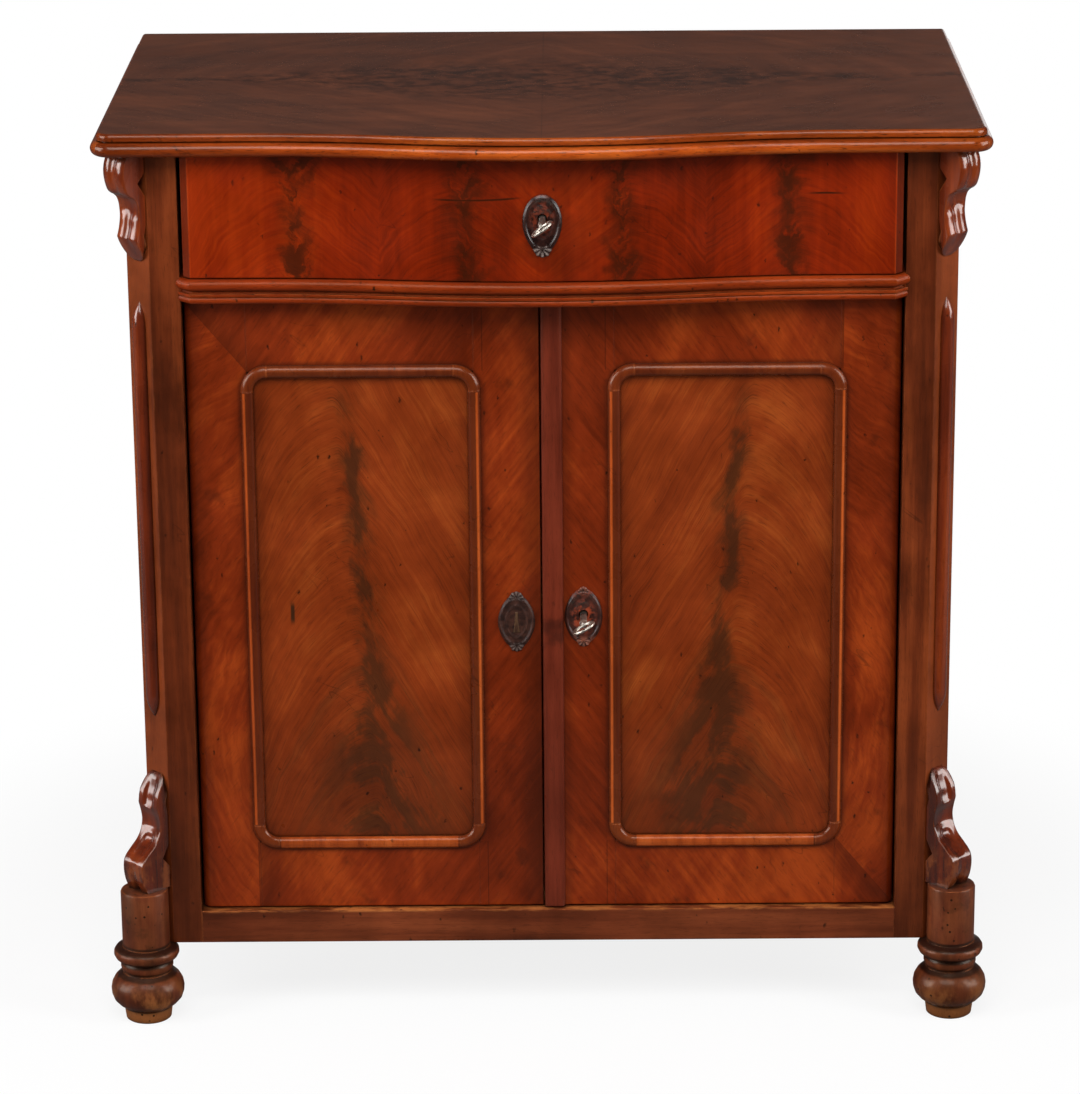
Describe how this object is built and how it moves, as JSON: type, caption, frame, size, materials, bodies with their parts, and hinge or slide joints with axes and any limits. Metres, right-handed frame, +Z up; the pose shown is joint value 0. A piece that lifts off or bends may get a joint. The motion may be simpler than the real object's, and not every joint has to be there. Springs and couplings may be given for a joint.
{
  "type": "pier cabinet",
  "caption": "Bow-fronted pier cabinet with a drawer over panelled doors, canted corners with scroll brackets, and turned front feet.",
  "frame": {"origin": "on the floor, in the middle of the overall width and depth (key bows included)", "axes": "+X to the right seen from the front, +Y to the back, +Z up; the drawer and doors face -Y"},
  "size_m": [0.8288, 0.517, 0.857],
  "materials": {
    "case_mahogany": "polished red-brown veneer",
    "moulding_mahogany": "polished, worn edges",
    "carved_mahogany": "polished, worn",
    "drawer_veneer": "polished flame veneer",
    "panel_veneer": "polished crotch veneer",
    "door_veneer": "polished veneer",
    "pine": "bare, aged",
    "escutcheon_horn": "dark horn",
    "iron": "dark iron",
    "key_steel": "worn steel"
  },
  "bodies": {
    "case": {"back_boards": "pine", "bottom_board": "pine", "corner_batons": "carved_mahogany", "corner_post_left": "case_mahogany", "corner_post_right": "case_mahogany", "door_pivots": "iron", "door_stops": "pine", "drawer_rail": "pine", "drawer_runners": "pine", "drawer_stops": "pine", "dust_board": "pine", "front_foot_left": "carved_mahogany", "front_foot_right": "carved_mahogany", "lower_bracket_left": "carved_mahogany", "lower_bracket_right": "carved_mahogany", "plinth_rail": "case_mahogany", "rear_feet": "pine", "shelf": "pine", "shelf_cleats": "pine", "side_panel_left": "case_mahogany", "side_panel_right": "case_mahogany", "top_board": "case_mahogany", "top_front_moulding": "moulding_mahogany", "top_side_mouldings": "moulding_mahogany", "upper_bracket_left": "carved_mahogany", "upper_bracket_right": "carved_mahogany", "waist_moulding": "moulding_mahogany"},
    "drawer": {"drawer_back": "pine", "drawer_bottom": "pine", "drawer_escutcheon": "escutcheon_horn", "drawer_front": "drawer_veneer", "drawer_lock_case": "iron", "drawer_lock_screws": "iron", "drawer_side_left": "pine", "drawer_side_right": "pine"},
    "drawer_bolt": {"drawer_lock_bolt": "iron"},
    "drawer_key": {"drawer_key": "key_steel"},
    "left_door": {"left_door_bolt_guides": "iron", "left_door_escutcheon": "escutcheon_horn", "left_door_hinge_stile": "door_veneer", "left_door_meeting_stile": "door_veneer", "left_door_panel": "panel_veneer", "left_door_panel_moulding": "moulding_mahogany", "left_door_pivot_plates": "iron", "left_door_rails": "door_veneer"},
    "left_upper_bolt": {"left_door_upper_bolt": "iron"},
    "left_lower_bolt": {"left_door_lower_bolt": "iron"},
    "right_door": {"right_door_astragal": "moulding_mahogany", "right_door_escutcheon": "escutcheon_horn", "right_door_hinge_stile": "door_veneer", "right_door_lock_case": "iron", "right_door_lock_screws": "iron", "right_door_meeting_stile": "door_veneer", "right_door_panel": "panel_veneer", "right_door_panel_moulding": "moulding_mahogany", "right_door_pivot_plates": "iron", "right_door_rails": "door_veneer"},
    "right_bolt": {"right_door_lock_bolt": "iron"},
    "right_key": {"right_door_key": "key_steel"}
  },
  "joints": [
    {"name": "drawer_slide", "type": "slide", "parent": "case", "child": "drawer", "axis": [0, -1, 0], "range_m": [0, 0.3]},
    {"name": "drawer_key_turn", "type": "hinge", "parent": "drawer", "child": "drawer_key", "pos_m": [0, -0.2085, 0.78], "axis": [0, 1, 0], "range_deg": [0, 120]},
    {"name": "drawer_bolt_slide", "type": "slide", "parent": "drawer", "child": "drawer_bolt", "axis": [0, 0, 1], "range_m": [0, 0.0092]},
    {"name": "left_door_hinge", "type": "hinge", "parent": "case", "child": "left_door", "pos_m": [-0.3175, -0.165, 0.1045], "axis": [0, 0, -1], "range_deg": [0, 90]},
    {"name": "left_upper_bolt_slide", "type": "slide", "parent": "left_door", "child": "left_upper_bolt", "axis": [0, 0, 1], "range_m": [0, 0.01]},
    {"name": "left_lower_bolt_slide", "type": "slide", "parent": "left_door", "child": "left_lower_bolt", "axis": [0, 0, -1], "range_m": [0, 0.01]},
    {"name": "right_door_hinge", "type": "hinge", "parent": "case", "child": "right_door", "pos_m": [0.3175, -0.165, 0.1045], "axis": [0, 0, 1], "range_deg": [0, 90]},
    {"name": "right_key_turn", "type": "hinge", "parent": "right_door", "child": "right_key", "pos_m": [0.035, -0.173, 0.396], "axis": [0, 1, 0], "range_deg": [0, 120]},
    {"name": "right_bolt_slide", "type": "slide", "parent": "right_door", "child": "right_bolt", "axis": [-1, 0, 0], "range_m": [0, 0.0092]}
  ],
  "couplings": [
    {"joint": "drawer_bolt_slide", "follows": "drawer_key_turn", "m_per_rad": 0.00382},
    {"joint": "right_bolt_slide", "follows": "right_key_turn", "m_per_rad": 0.00382}
  ]
}
